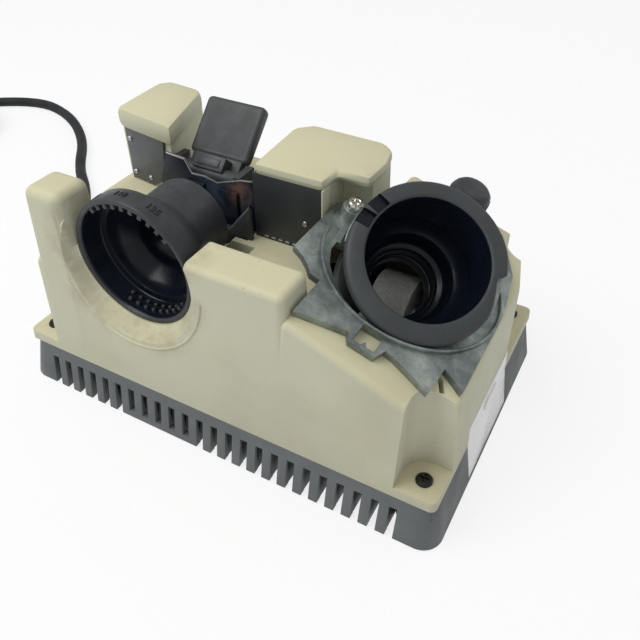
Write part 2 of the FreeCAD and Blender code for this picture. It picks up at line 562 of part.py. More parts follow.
def rounded_route(points):
    edges = []
    here = points[0]
    for before, corner, after in zip(points, points[1:], points[2:]):
        back = (before - corner).normalize()
        ahead = (after - corner).normalize()
        half = (math.pi - back.getAngle(ahead)) / 2
        reach = 0.45 * min((before - corner).Length, (after - corner).Length)
        first = corner + back * reach
        last = corner + ahead * reach
        radius = reach / math.tan(half)
        middle_way = (back + ahead).normalize()
        middle = corner + middle_way * (radius / math.cos(half) - radius)
        edges.append(Part.makeLine(here, first))
        edges.append(Part.Arc(first, middle, last).toShape())
        here = last
    edges.append(Part.makeLine(here, points[-1]))
    return Part.Wire(edges)


def swept(wire):
    start = wire.Edges[0].valueAt(wire.Edges[0].FirstParameter)
    along = wire.Edges[0].tangentAt(wire.Edges[0].FirstParameter)
    ring = Part.Wire(Part.makeCircle(cord / 2, start, along))
    return wire.makePipeShell([ring], True, False)


def fixed(name, shape):
    item = doc.addObject("Part::Feature", name)
    item.Shape = shape
    return node(name, item)


fixed("mains_cord", swept(rounded_route(route)))

half_radii = [coil_radius - half_step * steps for steps in (0, 1, 2, 3, 2, 1)]
climb = 3
arcs = []
point = coil_start
inward = Vector(-math.cos(start_angle), -math.sin(start_angle), 0)
for number, radius in enumerate(half_radii):
    rise = Vector(0, 0, layer_rise) if number == climb else Vector(0, 0, 0)
    end = point + inward * (2 * radius) + rise
    centre = (point + end) * 0.5
    side = Vector(-inward.y, inward.x, 0) * -1
    middle = centre + side * ((end - point).Length / 2)
    arcs.append(Part.Arc(point, middle, end).toShape())
    point = end
    inward = inward * -1
fixed("cord_coil", swept(Part.Wire(arcs)))

plug_radius = 15
plug_z = plug_radius + 0.2
low = Vector(0, 0, floor_z - point.z)
level = Vector(0, 0, plug_z - point.z)
aside = Vector(-heading.y, heading.x, 0)
tail_way = [point, point + heading * 62, point + heading * 112 + aside * 3 + low,
            point + heading * 158 + aside * 12 + low, point + heading * 205 + aside * 28 + level,
            point + heading * 240 + aside * 46 + level]
fixed("cord_tail", swept(rounded_route(tail_way)))
tie_width = 8
tie_thick = 1.5
tie_inner = 33
tie_outer = 66
tie_top = floor_z + layer_rise + cord / 2 + 0.4
strap = Part.makeBox(tie_outer - tie_inner, tie_width, tie_thick, Vector(tie_inner, -tie_width / 2, tie_top))
legs = [Part.makeBox(tie_thick, tie_width, tie_top - 0.2, Vector(x, -tie_width / 2, 0.2))
        for x in (tie_inner, tie_outer - tie_thick)]
tie = strap.multiFuse(legs).removeSplitter()
fixed("cord_tie", tie)
nodes["cord_tie"].Placement = FreeCAD.Placement(Vector(coil_x, coil_y, 0), Rotation(Vector(0, 0, 1), 230))
plug_way = (tail_way[-1] - tail_way[-2]).normalize()
plug_at = tail_way[-1]
collar_length = 18
body_length = 30
collar = Part.makeCone(cord / 2 + 1.5, plug_radius, collar_length, plug_at, plug_way)
body = Part.makeCylinder(plug_radius, body_length, plug_at + plug_way * collar_length, plug_way)
fixed("plug_body", collar.fuse(body).removeSplitter())
across = Vector(-plug_way.y, plug_way.x, 0)
face = plug_at + plug_way * (collar_length + body_length)
pin_spread = 9.5
contact_radius = 2.4
contact_length = 19
pins = [Part.makeCylinder(contact_radius, contact_length, face + across * (pin_spread * side), plug_way)
        for side in (-1, 1)]
fixed("plug_pins", Part.makeCompound(pins))

doc.recompute()
os.makedirs("parts", exist_ok=True)
for name, item in nodes.items():
    shape = item.Shape
    if "Invalid" in item.State or "Error" in item.State:
        raise RuntimeError(f"{name} did not build")
    if shape.isNull() or not shape.isValid():
        raise RuntimeError(f"{name} has no valid shape")
    print(name, len(shape.Solids), round(shape.Volume / 1000, 2), [round(v, 1) for v in
          (shape.BoundBox.XMin, shape.BoundBox.XMax, shape.BoundBox.YMin, shape.BoundBox.YMax,
           shape.BoundBox.ZMin, shape.BoundBox.ZMax)])
    shape.exportStep(f"parts/{name}.step")
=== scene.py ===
import math

import bmesh
import bpy
from mathutils import Matrix, Vector


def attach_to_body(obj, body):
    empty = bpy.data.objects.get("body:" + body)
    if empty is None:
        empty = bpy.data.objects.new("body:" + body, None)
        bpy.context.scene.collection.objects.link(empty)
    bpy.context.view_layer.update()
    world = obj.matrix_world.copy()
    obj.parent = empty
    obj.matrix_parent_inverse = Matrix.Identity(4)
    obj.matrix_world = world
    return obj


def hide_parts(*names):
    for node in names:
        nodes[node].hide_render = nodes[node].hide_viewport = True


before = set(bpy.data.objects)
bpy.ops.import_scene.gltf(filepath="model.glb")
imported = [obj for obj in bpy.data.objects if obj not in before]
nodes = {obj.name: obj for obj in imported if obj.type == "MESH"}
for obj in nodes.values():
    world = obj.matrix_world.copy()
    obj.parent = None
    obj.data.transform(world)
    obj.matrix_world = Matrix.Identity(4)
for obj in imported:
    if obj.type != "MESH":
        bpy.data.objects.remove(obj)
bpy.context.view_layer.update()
scene = bpy.context.scene
mm = 0.001
print("frame loaded", len(nodes), "nodes")


def placed(name, data):
    piece = bpy.data.objects.new(name, data)
    scene.collection.objects.link(piece)
    return piece


# Camera: fitted to the photograph, which is square
view = {"place": (0.1757, -0.2761, 0.3176), "right": (0.878, 0.4787, 0.0), "up": (-0.314, 0.576, 0.7547),
        "back": (0.3613, -0.6626, 0.6561), "lens": 38.25, "sensor": 36, "near": 0.01, "far": 20}


def setCamera():
    data = bpy.data.cameras.new("camera")
    data.lens = view["lens"]
    data.sensor_width = view["sensor"]
    data.sensor_fit = "HORIZONTAL"
    data.clip_start = view["near"]
    data.clip_end = view["far"]
    camera = placed("camera", data)
    turn = Matrix((view["right"], view["up"], view["back"])).transposed()
    camera.matrix_world = Matrix.Translation(view["place"]) @ turn.to_4x4()
    scene.camera = camera


setCamera()

# Light: an even white room, one broad lamp over the left shoulder and one behind
# Each lamp has a name, a power, a size and a place
room = {"white": (1, 1, 1, 1), "strength": 0.58, "aim": (0, 0, 0.05),
        "lamps": (("keyLamp", 8.0, 0.8, (-0.5, -0.5, 1.1)), ("rimLamp", 0.8, 0.9, (0.5, 0.9, 0.9)))}


def setLight():
    world = bpy.data.worlds.new("room")
    world.use_nodes = True
    back = world.node_tree.nodes["Background"]
    back.inputs["Color"].default_value = room["white"]
    back.inputs["Strength"].default_value = room["strength"]
    scene.world = world
    for name, power, size, place in room["lamps"]:
        lamp = bpy.data.lights.new(name, "AREA")
        lamp.energy = power
        lamp.size = size
        holder = placed(name, lamp)
        aim = Vector(room["aim"]) - Vector(place)
        holder.matrix_world = Matrix.Translation(place) @ aim.to_track_quat("-Z", "Y").to_matrix().to_4x4()
    scene.view_settings.view_transform = "Standard"


setLight()
print("camera and light set")

# Finishes: each one is a small node tree on Object coordinates
# Noises are (scale, detail, roughness), spans are (from, to) or (from, to, low, high) of a ramp
noiseSpan = (0.3, 0.7)


class Tree:
    def __init__(self, name):
        self.material = bpy.data.materials.new(name)
        self.material.use_nodes = True
        self.all = self.material.node_tree
        self.shader = self.all.nodes["Principled BSDF"]
        self.place = self.add("ShaderNodeTexCoord").outputs["Object"]

    def add(self, kind, inputs=None, **values):
        node = self.all.nodes.new(kind)
        for key, value in values.items():
            setattr(node, key, value)
        for key, value in (inputs or {}).items():
            node.inputs[key].default_value = value
        return node

    def join(self, a, b):
        self.all.links.new(a, b)

    def noise(self, scale, detail=4, rough=0.55, stretch=None):
        node = self.add("ShaderNodeTexNoise", {"Scale": scale, "Detail": detail, "Roughness": rough})
        source = self.place
        if stretch:
            mapping = self.add("ShaderNodeMapping", {"Scale": stretch})
            self.join(self.place, mapping.inputs["Vector"])
            source = mapping.outputs["Vector"]
        self.join(source, node.inputs["Vector"])
        return node.outputs["Fac"]

    def ramp(self, source, low, high, a=0.0, b=1.0):
        span = {"From Min": low, "From Max": high, "To Min": a, "To Max": b}
        node = self.add("ShaderNodeMapRange", span)
        self.join(source, node.inputs["Value"])
        return node.outputs["Result"]

    def times(self, a, b, operation="MULTIPLY"):
        node = self.add("ShaderNodeMath", operation=operation)
        self.join(a, node.inputs[0])
        if isinstance(b, (int, float)):
            node.inputs[1].default_value = b
        else:
            self.join(b, node.inputs[1])
        return node.outputs[0]

    def larger(self, a, b):
        return self.times(a, b, "MAXIMUM")

    def away(self, centre, keep):
        # distance from a point, counting only the kept axes
        flat = self.add("ShaderNodeVectorMath", {1: keep}, operation="MULTIPLY")
        self.join(self.place, flat.inputs[0])
        goal = [c * k for c, k in zip(centre, keep)]
        node = self.add("ShaderNodeVectorMath", {1: goal}, operation="DISTANCE")
        self.join(flat.outputs["Vector"], node.inputs[0])
        return node.outputs["Value"]

    def cloud(self, values, key):
        return self.ramp(self.noise(*values[key]), *values[key + "Span"])

    def near(self, values, key, keep):
        return self.ramp(self.away(values[key], keep), *values[key + "Span"])

    def mix(self, share, a, b):
        node = self.add("ShaderNodeMix", data_type="RGBA")
        self.join(share, node.inputs["Factor"])
        colours = [s for s in node.inputs if s.type == "RGBA"]
        for socket, value in zip(colours, (a, b)):
            if isinstance(value, tuple):
                socket.default_value = (*value, 1)
            else:
                self.join(value, socket)
        return [s for s in node.outputs if s.type == "RGBA"][0]

    def upper(self, source):
        split = self.add("ShaderNodeSeparateXYZ")
        self.join(source, split.inputs[0])
        return split.outputs["Z"]

    def upward(self):
        return self.upper(self.add("ShaderNodeNewGeometry").outputs["Normal"])

    def colour(self, source):
        self.join(source, self.shader.inputs["Base Color"])

    def rough(self, source, low, high):
        self.join(self.ramp(source, *noiseSpan, low, high), self.shader.inputs["Roughness"])

    def bump(self, source, strength, distance):
        node = self.add("ShaderNodeBump", {"Strength": strength, "Distance": distance})
        self.join(source, node.inputs["Height"])
        self.join(node.outputs["Normal"], self.shader.inputs["Normal"])

    def surface(self, values):
        # uneven sheen and fine relief, each from a noise of its own
        self.rough(self.noise(*values["sheen"]), *values["rough"])
        self.bump(self.noise(*values["grain"]), *values["bump"])

    def value(self, **settings):
        for key, number in settings.items():
            self.shader.inputs[key.replace("_", " ")].default_value = number


# The top colour is painted light: upward faces are lighter than the sides, as if lit from above, and
# yellower too
cream = {"side": (0.50, 0.50, 0.375), "top": (0.61, 0.58, 0.385), "topSpan": (0.1, 0.9),
         "grime": (0.33, 0.28, 0.17), "wear": (9, 5), "wearSpan": (0.52, 0.78, 0, 0.45),
         "foot": (60, 4), "footSpan": (0.05, 0.029, 0, 0.25),
         "cup": (-0.046, 0, 0.108), "cupSpan": (0.056, 0.043, 0, 0.75),
         "face": (0, -0.08, 0), "faceSpan": (0.04, 0.025), "patch": (55, 5, 0.65), "patchSpan": (0.42, 0.72),
         "speck": (0.16, 0.13, 0.09), "specks": (420, 2, 0.4), "specksSpan": (0.73, 0.8, 0, 0.35),
         "sheen": (40,), "rough": (0.5, 0.68), "grain": (1600, 2), "bump": (0.18, 0.0002)}


def creamPlastic():
    # tops painted lighter than the sides, painted light from above, and also yellower; grimy patches; darker
    # towards the foot and in a patchy band round the cup's opening; dark specks
    tree = Tree("creamPlastic")
    # painted light: the tops lighter and yellower than the sides
    base = tree.mix(tree.ramp(tree.upward(), *cream["topSpan"]), cream["side"], cream["top"])
    worn = tree.mix(tree.cloud(cream, "wear"), base, cream["grime"])
    low = tree.ramp(tree.upper(tree.place), *cream["footSpan"])
    worn = tree.mix(tree.times(low, tree.noise(*cream["foot"])), worn, cream["grime"])
    ring = tree.times(tree.near(cream, "cup", (1, 0, 1)), tree.near(cream, "face", (0, 1, 0)))
    worn = tree.mix(tree.times(ring, tree.cloud(cream, "patch")), worn, cream["grime"])
    tree.colour(tree.mix(tree.cloud(cream, "specks"), worn, cream["speck"]))
    tree.surface(cream)
    return tree.material


# Upward faces are paled in patches, partly real dust and partly painted sheen
mould = {"wear": (26, 6, 0.6), "wearSpan": (0.5, 0.8, 0, 0.6), "topSpan": (0.2, 1.0, 0, 0.35),
         "dustAndSheen": (180, 4), "dustAndSheenSpan": (0.4, 0.7), "sheen": (70,), "grainDetail": 2, "relief": 0.0002}


def moulded(name, colour, pale, low, high, grain=1500, depth=0.15):
    tree = Tree(name)
    worn = tree.mix(tree.cloud(mould, "wear"), colour, pale)
    # upward faces paler in patches: part dust, part painted sheen
    dustAndSheen = tree.times(tree.ramp(tree.upward(), *mould["topSpan"]), tree.cloud(mould, "dustAndSheen"))
    tree.colour(tree.mix(dustAndSheen, worn, pale))
    tree.surface({"sheen": mould["sheen"], "rough": (low, high), "grain": (grain, mould["grainDetail"]),
                  "bump": (depth, mould["relief"])})
    return tree.material


zinc = {"dark": (0.17, 0.20, 0.195), "light": (0.42, 0.465, 0.425), "flow": (34, 6, 0.7),
        "flowSpan": (0.4, 0.64), "speck": (0.16, 0.18, 0.20), "specks": (900, 3, 0.7),
        "specksSpan": (0.55, 0.7, 0, 0.55), "metallic": 0.85, "sheen": (160, 4), "rough": (0.38, 0.58),
        "grain": (1100, 3), "bump": (0.25, 0.0002)}


def castZinc():
    tree = Tree("castZinc")
    flow = tree.mix(tree.cloud(zinc, "flow"), zinc["dark"], zinc["light"])
    tree.colour(tree.mix(tree.cloud(zinc, "specks"), flow, zinc["speck"]))
    tree.value(Metallic=zinc["metallic"])
    tree.surface(zinc)
    return tree.material


polish = {"tint": (140, 5, 0.6), "sheen": (300, 3, 0.6), "grain": (900, 2, 0.5), "bump": (0.08, 0.0001)}


def metal(name, dark, light, low, high, stretch=None):
    tree = Tree(name)
    tree.colour(tree.mix(tree.noise(*polish["tint"], stretch), dark, light))
    tree.value(Metallic=1.0)
    tree.surface({"sheen": (*polish["sheen"], stretch), "rough": (low, high),
                  "grain": (*polish["grain"], stretch), "bump": polish["bump"]})
    return tree.material


# Both grit colours are painted light: much paler than the wheel's own grit, standing in for light that does
# not reach it inside the housing
grit = {"grains": (1500, 2, 0.8), "span": (0.4, 0.6), "dark": (0.62, 0.61, 0.58),
        "light": (0.98, 0.97, 0.93), "rough": (0.35, 0.6), "bump": (0.9, 0.0004)}


def gritWheel():
    tree = Tree("diamondGrit")
    grains = tree.noise(*grit["grains"])
    # pale grit colours here are painted light on the shaded wheel
    tree.colour(tree.mix(tree.ramp(grains, *grit["span"]), grit["dark"], grit["light"]))
    tree.rough(grains, *grit["rough"])
    tree.bump(grains, *grit["bump"])
    return tree.material


acrylic = {"haze": (35, 5), "dark": (0.86, 0.86, 0.86), "light": (0.96, 0.96, 0.95), "rough": (0.22, 0.42),
           "clear": 0.15, "index": 1.49, "wave": (80, 3), "bump": (0.1, 0.0003)}


def hazyAcrylic():
    tree = Tree("clearCover")
    haze = tree.noise(*acrylic["haze"])
    tree.colour(tree.mix(haze, acrylic["dark"], acrylic["light"]))
    tree.rough(haze, *acrylic["rough"])
    tree.value(Transmission_Weight=acrylic["clear"], IOR=acrylic["index"])
    tree.bump(tree.noise(*acrylic["wave"]), *acrylic["bump"])
    return tree.material


blued = {"deep": (0.004, 0.007, 0.018), "sky": (0.012, 0.035, 0.062), "rust": (0.085, 0.04, 0.026),
         "streak": (-0.047, 0.0, 0.0), "streakSpan": (0.011, 0.003), "cloud": (60, 4),
         "patch": (-0.0265, 0.0, 0.119), "patchSpan": (0.010, 0.004), "stain": (160, 6, 0.7),
         "stainSpan": (0.4, 0.52), "metallic": 0.2, "sheen": (200,), "rough": (0.3, 0.5), "grain": (700, 3),
         "bump": (0.15, 0.0002)}


def bluedSheet():
    # a paler streak in the middle and a brown stain at the right
    tree = Tree("bluedSheet")
    streak = tree.near(blued, "streak", (1, 0, 0))
    tint = tree.mix(tree.times(streak, tree.noise(*blued["cloud"])), blued["deep"], blued["sky"])
    rust = tree.times(tree.near(blued, "patch", (1, 0, 1)), tree.cloud(blued, "stain"))
    tree.colour(tree.mix(rust, tint, blued["rust"]))
    tree.value(Metallic=blued["metallic"])
    tree.surface(blued)
    return tree.material


bore = {"tint": (40, 4), "dark": (0.003, 0.005, 0.010), "light": (0.008, 0.011, 0.018), "shine": 0.28,
        "sheen": (120, 4), "rough": (0.16, 0.3), "grain": (500, 2), "bump": (0.03, 0.0002)}


def polishedBore():
    tree = Tree("polishedBore")
    tree.colour(tree.mix(tree.noise(*bore["tint"]), bore["dark"], bore["light"]))
    tree.value(Specular_IOR_Level=bore["shine"])
    tree.surface(bore)
    return tree.material


finish = {
    "cream": creamPlastic(),
    "grey": moulded("greyPlastic", (0.105, 0.115, 0.118), (0.17, 0.175, 0.17), 0.5, 0.7),
    "panel": moulded("panelPlastic", (0.075, 0.082, 0.088), (0.13, 0.135, 0.14), 0.42, 0.6),
    "black": moulded("blackPlastic", (0.022, 0.026, 0.030), (0.062, 0.068, 0.070), 0.38, 0.6),
    "gloss": moulded("smoothBlack", (0.012, 0.013, 0.016), (0.03, 0.032, 0.035), 0.2, 0.36, 700, 0.05),
    "bore": polishedBore(),
    "flange": moulded("flangeCharcoal", (0.034, 0.039, 0.041), (0.058, 0.064, 0.066), 0.5, 0.66, 1300, 0.12),
    "pad": moulded("lightCharcoal", (0.036, 0.041, 0.042), (0.08, 0.088, 0.088), 0.45, 0.62),
    "rubber": moulded("rubberJacket", (0.008, 0.0095, 0.011), (0.022, 0.024, 0.026), 0.6, 0.8, 2200, 0.3),
    "zinc": castZinc(),
    "steel": metal("brightSteel", (0.42, 0.43, 0.45), (0.66, 0.67, 0.68), 0.22, 0.4, (1, 40, 40)),
    "nickel": metal("nickelPin", (0.62, 0.60, 0.56), (0.82, 0.80, 0.76), 0.12, 0.25),
    "darkSteel": metal("blackenedSteel", (0.02, 0.02, 0.022), (0.07, 0.07, 0.07), 0.35, 0.5),
    "bronze": metal("bronzeBush", (0.36, 0.24, 0.10), (0.62, 0.45, 0.2), 0.3, 0.45),
    "grit": gritWheel(),
    "clear": hazyAcrylic(),
    "blued": bluedSheet(),
    "tie": moulded("greenStrap", (0.10, 0.26, 0.05), (0.30, 0.42, 0.08), 0.4, 0.6),
}
print("finishes made", len(finish))

# Makers shared by the pieces, with the angles in degrees below which an edge is shaded smooth
smooth = {"plain": 35, "cut": 38, "turned": 40, "pad": 50, "bead": 60}
easing = {"width": 0.0004, "sharp": 0.00001, "limit": 30, "solidLimit": 38, "weld": 1e-6, "flat": 0.8}


def coated(mesh, coat):
    mesh.materials.clear()
    mesh.materials.append(finish[coat])
    return mesh


def meshOf(name, work):
    mesh = bpy.data.meshes.new(name)
    work.to_mesh(mesh)
    work.free()
    return mesh


def drawn(name, work, coat):
    # the piece that a finished bmesh describes
    return placed(name, coated(meshOf(name, work), coat))


def finalMesh(piece):
    bpy.context.view_layer.update()
    graph = bpy.context.evaluated_depsgraph_get()
    return bpy.data.meshes.new_from_object(piece.evaluated_get(graph))


def drop(piece):
    old = piece.data
    bpy.data.objects.remove(piece)
    bpy.data.meshes.remove(old)


def settle(piece):
    mesh = finalMesh(piece)
    piece.modifiers.clear()
    piece.data = mesh
    return piece


def shade(piece, angle=smooth["plain"]):
    mesh = piece.data
    mesh.polygons.foreach_set("use_smooth", [True] * len(mesh.polygons))
    work = bmesh.new()
    work.from_mesh(mesh)
    for edge in work.edges:
        edge.smooth = len(edge.link_faces) == 2 and edge.calc_face_angle(0) < math.radians(angle)
    work.to_mesh(mesh)
    work.free()
    return piece


def attach(piece, body, slot, *replaced):
    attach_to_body(piece, body)
    if replaced:
        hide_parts(*replaced)
    return piece


def eased(piece, width, segments=2, limit=easing["limit"], angle=smooth["plain"]):
    # rounds the edges that turn by more than the limit
    bevel = piece.modifiers.new("bevel", "BEVEL")
    bevel.width = width
    bevel.segments = segments
    bevel.limit_method = "ANGLE"
    bevel.angle_limit = math.radians(limit)
    return shade(settle(piece), angle)


def softened(node, coat, width, segments=3):
    # a copy of a solid with its hard edges rounded as a moulding's are
    work = bmesh.new()
    work.from_mesh(nodes[node].data)
    bmesh.ops.remove_doubles(work, verts=work.verts, dist=easing["weld"])
    flat = math.radians(easing["flat"])
    bmesh.ops.dissolve_limit(work, angle_limit=flat, verts=work.verts, edges=work.edges)
    return eased(drawn(node + "Soft", work, coat), width, segments, easing["solidLimit"])


def softSolid(node, body, *look):
    return attach(softened(node, *look), body, node, node)


def turned(radius, along, turn, steps):
    angle = 2 * math.pi * turn / steps
    return Vector((radius * math.cos(angle) * mm, radius * math.sin(angle) * mm, along * mm))


def lathe(name, profile, coat, steps, matrix=Matrix()):
    # a closed outline of (radius, along) in millimetres, turned about the local Z axis
    work = bmesh.new()
    rings = [[work.verts.new(matrix @ turned(r, z, turn, steps)) for r, z in profile]
             for turn in range(steps)]
    count = len(profile)
    for here, there in zip(rings, rings[1:] + rings[:1]):
        for k in range(count):
            after = (k + 1) % count
            work.faces.new((here[k], there[k], there[after], here[after]))
    bmesh.ops.recalc_face_normals(work, faces=work.faces)
    return shade(drawn(name, work, coat), smooth["turned"])


def setOut(work, matrix):
    bmesh.ops.recalc_face_normals(work, faces=work.faces)
    bmesh.ops.transform(work, matrix=matrix, verts=work.verts)


def disc(name, profile, coat, steps, matrix=Matrix()):
    # an open outline of (radius, along) turned about local Z and closed by flat ends
    work = bmesh.new()
    rings = [[work.verts.new(turned(r, z, turn, steps)) for turn in range(steps)] for r, z in profile]
    for low, high in zip(rings, rings[1:]):
        for k in range(steps):
            after = (k + 1) % steps
            work.faces.new((low[k], low[after], high[after], high[k]))
    work.faces.new(rings[0])
    work.faces.new(rings[-1])
    setOut(work, matrix)
    return shade(drawn(name, work, coat), smooth["turned"])


def boxMesh(work, low, high, matrix=Matrix()):
    made = bmesh.ops.create_cube(work, size=1)
    for vert in made["verts"]:
        spot = Vector([low[i] + (vert.co[i] + 0.5) * (high[i] - low[i]) for i in range(3)])
        vert.co = matrix @ (spot * mm)


def boxes(name, pairs, coat, matrix=Matrix(), width=easing["width"]):
    work = bmesh.new()
    for low, high in pairs:
        boxMesh(work, low, high, matrix)
    return eased(drawn(name, work, coat), width)


def outline(name, points, low, high, coat, matrix=Matrix(), width=easing["width"]):
    # a plate cut to an outline in the local XY plane
    work = bmesh.new()
    face = work.faces.new([work.verts.new(Vector((x, y, low)) * mm) for x, y in points])
    raised = bmesh.ops.extrude_face_region(work, geom=[face])["geom"]
    lift = Vector((0, 0, (high - low) * mm))
    bmesh.ops.translate(work, vec=lift, verts=[v for v in raised if isinstance(v, bmesh.types.BMVert)])
    setOut(work, matrix)
    return eased(drawn(name, work, coat), width)


def wire(name, kind, points, radius, rounds):
    # a round curve through points given in metres
    curve = bpy.data.curves.new(name, "CURVE")
    curve.dimensions = "3D"
    curve.bevel_depth = radius
    curve.bevel_resolution = rounds
    curve.use_fill_caps = True
    spline = curve.splines.new(kind)
    spline.points.add(len(points) - 1)
    for point, spot in zip(spline.points, points):
        point.co = (*spot, 1)
    return curve


def fromCurve(name, curve, coat):
    # the mesh of a curve or a text
    holder = placed(name, curve)
    mesh = finalMesh(holder)
    bpy.data.objects.remove(holder)
    return placed(name, coated(mesh, coat))


def carve(piece, cutter):
    cutting = piece.modifiers.new("cut", "BOOLEAN")
    cutting.object = cutter
    cutting.operation = "DIFFERENCE"
    cutting.solver = "EXACT"
    settle(piece)
    bpy.data.objects.remove(cutter)
    return shade(piece, smooth["cut"])


def copiesTree():
    # sets one small shape on every point of a mesh, turned by the point's own "turn" angles
    tree = bpy.data.node_groups.new("copies", "GeometryNodeTree")
    for label, way, kind in (("Points", "INPUT", "Geometry"), ("Shape", "INPUT", "Object"),
                             ("Finish", "INPUT", "Material"), ("Mesh", "OUTPUT", "Geometry")):
        tree.interface.new_socket(label, in_out=way, socket_type="NodeSocket" + kind)
    make = tree.nodes.new
    start = make("NodeGroupInput")
    end = make("NodeGroupOutput")
    shape = make("GeometryNodeObjectInfo")
    turn = make("GeometryNodeInputNamedAttribute")
    turn.data_type = "FLOAT_VECTOR"
    turn.inputs["Name"].default_value = "turn"
    toTurn = make("FunctionNodeEulerToRotation")
    spread = make("GeometryNodeInstanceOnPoints")
    real = make("GeometryNodeRealizeInstances")
    paint = make("GeometryNodeSetMaterial")
    for giver, given, taker, taken in (
            (start, "Points", spread, "Points"), (start, "Shape", shape, "Object"),
            (shape, "Geometry", spread, "Instance"), (turn, "Attribute", toTurn, "Euler"),
            (toTurn, "Rotation", spread, "Rotation"), (spread, "Instances", real, "Geometry"),
            (real, "Geometry", paint, "Geometry"), (start, "Finish", paint, "Material"),
            (paint, "Geometry", end, "Mesh")):
        tree.links.new(giver.outputs[given], taker.inputs[taken])
    return tree


copies = copiesTree()


def repeat(name, shape, spots, coat):
    # spots are matrices; the shape is drawn about the origin and used up
    mesh = bpy.data.meshes.new(name)
    mesh.from_pydata([spot.to_translation() for spot in spots], [], [])
    turns = mesh.attributes.new("turn", "FLOAT_VECTOR", "POINT")
    for item, spot in zip(turns.data, spots):
        item.vector = spot.to_euler()
    piece = placed(name, coated(mesh, coat))
    layer = piece.modifiers.new("copies", "NODES")
    layer.node_group = copies
    values = {"Shape": shape, "Finish": finish[coat]}
    for item in copies.interface.items_tree:
        if item.name in values:
            layer[item.identifier] = values[item.name]
    settle(piece)
    drop(shape)
    return shade(piece)


def merged(name, pieces):
    # one mesh from several, each keeping its finish
    work = bmesh.new()
    finishes = []
    for piece in pieces:
        before = len(work.faces)
        work.from_mesh(piece.data)
        work.faces.ensure_lookup_table()
        for face in work.faces[before:]:
            material = piece.data.materials[face.material_index]
            if material not in finishes:
                finishes.append(material)
            face.material_index = finishes.index(material)
    mesh = meshOf(name, work)
    for material in finishes:
        mesh.materials.append(material)
    for piece in pieces:
        drop(piece)
    return placed(name, mesh)


def at(x, y, z):
    return Matrix.Translation(Vector((x, y, z)) * mm)


def axes(x, y, z):
    return Matrix((x, y, z)).transposed().to_4x4()


def spun(degrees, axis):
    return Matrix.Rotation(math.radians(degrees), 4, axis)


def polar(radius, degrees, x=0, y=0):
    angle = math.radians(degrees)
    return x + radius * math.cos(angle), y + radius * math.sin(angle)


def evenly(start, stop, count):
    return [start + (stop - start) * k / max(count - 1, 1) for k in range(count)]


# Frames of the sloping pieces, in millimetres and degrees
tubeLean = 43
alongX = axes((0, 1, 0), (0, 0, 1), (1, 0, 0))
facingFront = axes((1, 0, 0), (0, 0, 1), (0, -1, 0))
seatFrame = at(77, 16.6, 106.66) @ spun(20, "Y")
tubeFrame = at(94.9, -17.9, 125.7) @ spun(39, (*polar(1, tubeLean), 0))
dialFrame = at(-46, -73, 108) @ axes((1, 0, 0), (0, 0, -1), (0, 1, 0))
leverFrame = at(0, 10.6, 115.6) @ spun(-45, "X")

# Cord: the route's own points, then the coil's half turns, then the tail to the plug
# The tail's points are (ahead, aside, height)
cord = {"width": 9.6, "lift": 5.0, "exit": (-128, 45, 10),
        "route": ((-196, 45, 10), (-238, 64, 5), (-268, 97, 5), (-300, 122, 5), (-338, 169, 5),
                  (-393, 206, 5)),
        "coil": (-488, 120), "start": 126, "runIn": 87, "radius": 57, "step": 5.1,
        "turns": (0, 1, 2, 3, 2, 1), "crossing": 3, "rise": 10.2, "perHalf": 9, "shrink": 0.985,
        "tail": ((62, 0, "coil"), (112, 3, "floor"), (158, 12, "floor"), (205, 28, "plug"),
                 (240, 46, "plug")),
        "plugHeight": 15.2, "rounds": 5, "steps": 6, "order": 3}


def cordPoints():
    low = cord["lift"]
    outward = Vector((*polar(1, cord["start"]), 0))
    heading = Vector((-outward.y, outward.x, 0))
    spot = Vector((*cord["coil"], low)) + outward * cord["radius"]
    points = [Vector(p) for p in (cord["exit"], *cord["route"])]
    points.append(spot - heading * cord["runIn"])
    for number, inset in enumerate(cord["turns"]):
        radius = cord["radius"] - cord["step"] * inset
        rise = cord["rise"] if number == cord["crossing"] else 0
        centre = spot - outward * radius
        for k in range(cord["perHalf"]):
            sweep = math.pi * k / cord["perHalf"]
            lift = rise * (1 - math.cos(sweep)) / 2
            side = outward * math.cos(sweep) + heading * math.sin(sweep)
            points.append(centre + side * (radius / cord["shrink"]) + Vector((0, 0, lift)))
        spot = spot - outward * (2 * radius) + Vector((0, 0, rise))
        outward = -outward
        heading = -heading
    points.append(spot)
    aside = Vector((-heading.y, heading.x, 0))
    heights = {"coil": spot.z, "floor": low, "plug": cord["plugHeight"]}
    for ahead, across, level in cord["tail"]:
        place = spot + heading * ahead + aside * across
        place.z = heights[level]
        points.append(place)
    return [p * mm for p in points]


def makeCord():
    curve = wire("mainsLead", "NURBS", cordPoints(), cord["width"] / 2 * mm, cord["rounds"])
    curve.resolution_u = cord["steps"]
    curve.splines[0].order_u = cord["order"]
    curve.splines[0].use_endpoint_u = True
    return placed("mainsLead", coated(curve, "rubber"))


lead = attach(makeCord(), "housing", "mains_cord", "mains_cord", "cord_coil", "cord_tail")
print("cord laid")

# Housing and base: the solids with eased edges
housing = softSolid("top_housing", "housing", "cream", 0.0012)
softSolid("base_tray", "housing", "grey", 0.0006, 2)

# Deep fins behind the base's slots, their back wall, and the rounded posts in its corners
fins = {"blade": ((4.5, -85.6, 1.4), (10, -74, 17.4)), "start": -118, "pitch": 10, "count": 24,
        "wall": ((-127, -74, 1.4), (127, -72, 17.4)), "edge": 0.0003}
posts = {"x": 124.6, "y": 74.6, "z": 20, "profile": [(11.9, 0), (11.9, 8.9)], "lean": -0.178, "steps": 64}


